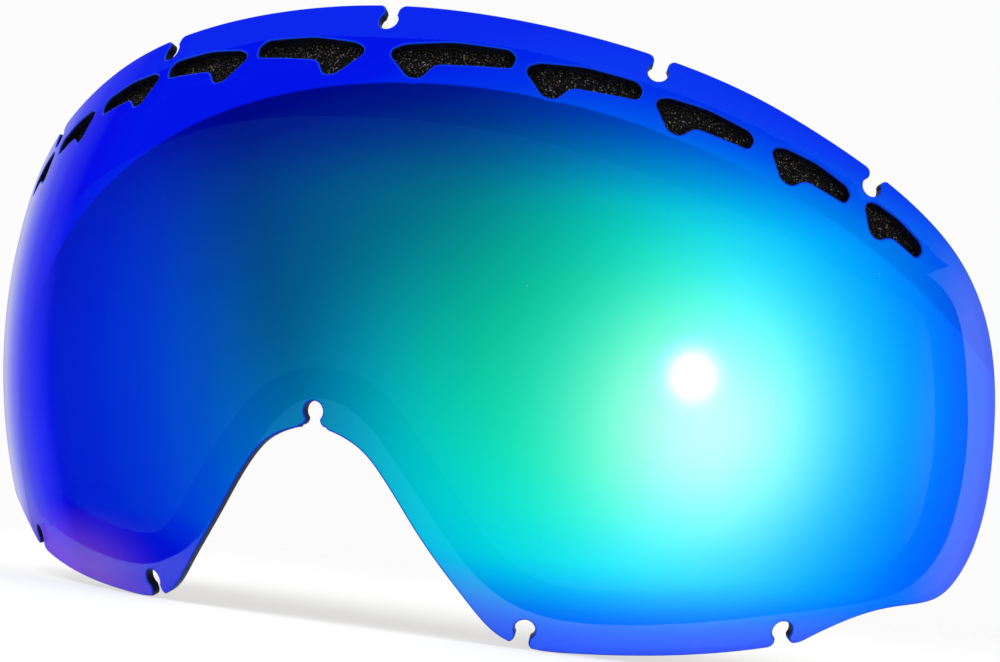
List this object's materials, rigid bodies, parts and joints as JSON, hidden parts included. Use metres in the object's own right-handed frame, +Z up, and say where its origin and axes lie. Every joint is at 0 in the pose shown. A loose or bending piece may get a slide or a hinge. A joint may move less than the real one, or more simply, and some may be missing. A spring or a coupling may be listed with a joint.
{
  "type": "ski goggle replacement lens",
  "caption": "Mirror-coated dual-pane ski goggle lens with brow vents backed by foam, a nose arch and keyhole notches round its edge.",
  "frame": {"origin": "middle of the whole lens's bounding box", "axes": "+Z up as worn, -Y forwards out of the wearer's face, +X towards the wearer's left"},
  "size_m": [0.187, 0.0574, 0.0986],
  "materials": {
    "mirror_lens": "polished",
    "clear_lens": "polished",
    "gasket_foam": "matte",
    "vent_foam": "matte",
    "adhesive": "satin"
  },
  "bodies": {
    "root": {"outer_lens": "mirror_lens", "gasket_tape_front": "adhesive", "spacer_gasket": "gasket_foam", "gasket_tape_back": "adhesive", "inner_lens": "clear_lens", "vent_foam_tape": "adhesive", "vent_foam": "vent_foam"}
  },
  "joints": []
}
